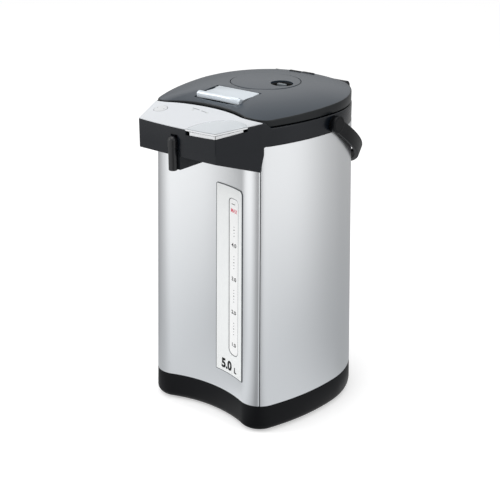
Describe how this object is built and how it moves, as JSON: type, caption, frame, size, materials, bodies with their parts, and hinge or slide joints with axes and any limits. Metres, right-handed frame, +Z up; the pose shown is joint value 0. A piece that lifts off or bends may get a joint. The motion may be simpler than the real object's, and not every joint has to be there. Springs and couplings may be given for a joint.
{
  "type": "electric thermo pot",
  "caption": "Electric thermo pot with a hollowed front, a beak with dispense button and spout, a hinged lid with latch and manual press pump, a level gauge and a carrying bail.",
  "frame": {"origin": "on the inner vessel's axis, in the plane that the pot stands on", "axes": "+Z up, -Y towards the front with the spout and gauge, +X to the right of someone behind the pot who looks towards the front's back, that is the gauge side"},
  "size_m": [0.2096, 0.2742, 0.378],
  "materials": {
    "base_black": "satin moulded",
    "foot_rubber": "matt",
    "steel": "bright",
    "inlet_black": "matt",
    "contact_metal": "bright",
    "body_metal": "satin metallic sheet",
    "front_metal": "satin metallic sheet",
    "gauge_plate": "satin print on metallic ground",
    "gauge_window": "smooth",
    "glass_clear": "clear",
    "silicone": "matt",
    "vessel_steel": "fine brushed",
    "insulation_felt": "felted",
    "heater_mica": "mica",
    "control_black": "matt",
    "bracket_grey": "plated",
    "pump_plastic": "matt",
    "circuit_board": "solder mask",
    "ring_black": "satin moulded",
    "nozzle_black": "satin",
    "spout_black": "glossy",
    "panel_white": "pearl satin",
    "lamp_lens": "clear lens",
    "handle_black": "satin moulded",
    "lid_grey": "satin metallic grey",
    "liner_plastic": "matt",
    "tray_black": "matt",
    "disc_grey": "satin metallic grey",
    "knob_dark": "satin",
    "spring_steel": "bright wire",
    "lever_silver": "silver paint",
    "button_silver": "silver paint",
    "key_white": "satin"
  },
  "bodies": {
    "pot": {"base_skirt": "base_black", "bottom_plate": "base_black", "foot_ring": "foot_rubber", "base_screws": "steel", "power_inlet": "inlet_black", "inlet_pins": "contact_metal", "side_shell": "body_metal", "front_cover": "front_metal", "gauge_panel": "gauge_plate", "gauge_window": "gauge_window", "gauge_glass": "glass_clear", "gauge_cuffs": "silicone", "vessel": "vessel_steel", "neck_gasket": "silicone", "insulation_wrap": "insulation_felt", "band_heater": "heater_mica", "thermostat": "control_black", "vessel_stand": "bracket_grey", "pump_housing": "pump_plastic", "pump_motor": "steel", "suction_hose": "silicone", "outlet_hose": "silicone", "delivery_hose": "silicone", "control_board": "circuit_board", "neck_ring": "ring_black", "hood": "ring_black", "hood_fairing": "ring_black", "nozzle_block": "nozzle_black", "spout_tube": "spout_black", "control_panel": "panel_white", "panel_board": "circuit_board", "lamps": "lamp_lens", "handle_caps": "handle_black", "hinge_pin": "steel", "button_spring": "spring_steel"},
    "lid": {"lid_shell": "lid_grey", "lid_hinge": "lid_grey", "lid_liner": "liner_plastic", "inner_lid": "vessel_steel", "lid_gasket": "silicone", "pump_sleeve": "tray_black", "lever_tray": "tray_black", "steam_vent": "tray_black", "lever_pins": "steel", "bellows": "silicone", "bellows_spring": "spring_steel"},
    "press_disc": {"press_disc": "disc_grey"},
    "lock_knob": {"lock_knob": "knob_dark"},
    "latch_lever": {"latch_lever": "lever_silver"},
    "latch_bolt": {"latch_bolt": "steel"},
    "dispense_button": {"dispense_button": "button_silver"},
    "round_key": {"round_key": "key_white"},
    "handle": {"handle": "handle_black"}
  },
  "joints": [
    {"name": "lid_open", "type": "hinge", "parent": "pot", "child": "lid", "pos_m": [0, 0.086, 0.3609], "axis": [-1, 0, 0], "range_deg": [0, 100]},
    {"name": "handle_swing", "type": "hinge", "parent": "pot", "child": "handle", "pos_m": [0, -0.004, 0.3432], "axis": [1, 0, 0], "range_deg": [0, 150]},
    {"name": "disc_press", "type": "slide", "parent": "lid", "child": "press_disc", "axis": [0, 0, -1], "range_m": [0, 0.014], "stiffness_N_per_m": 300, "springref_m": -0.005, "deforming": ["bellows", "bellows_spring"]},
    {"name": "knob_turn", "type": "hinge", "parent": "press_disc", "child": "lock_knob", "pos_m": [0.023, 0, 0.37], "axis": [0, 0, 1], "range_deg": [0, 60]},
    {"name": "lever_lift", "type": "hinge", "parent": "lid", "child": "latch_lever", "pos_m": [0, -0.05, 0.3724], "axis": [-1, 0, 0], "range_deg": [0, 40], "stiffness_Nm_per_rad": 0.15, "springref_deg": -8.59},
    {"name": "bolt_slide", "type": "slide", "parent": "lid", "child": "latch_bolt", "axis": [0, 1, 0], "range_m": [0, 0.004]},
    {"name": "button_press", "type": "slide", "parent": "pot", "child": "dispense_button", "axis": [0, 0, -1], "range_m": [0, 0.003], "stiffness_N_per_m": 400, "springref_m": -0.002, "deforming": ["button_spring"]},
    {"name": "key_press", "type": "slide", "parent": "pot", "child": "round_key", "axis": [0, 0, -1], "range_m": [0, 0.0008], "stiffness_N_per_m": 800, "springref_m": -0.0005}
  ],
  "couplings": [
    {"joint": "bolt_slide", "follows": "lever_lift", "m_per_rad": 0.0057}
  ]
}
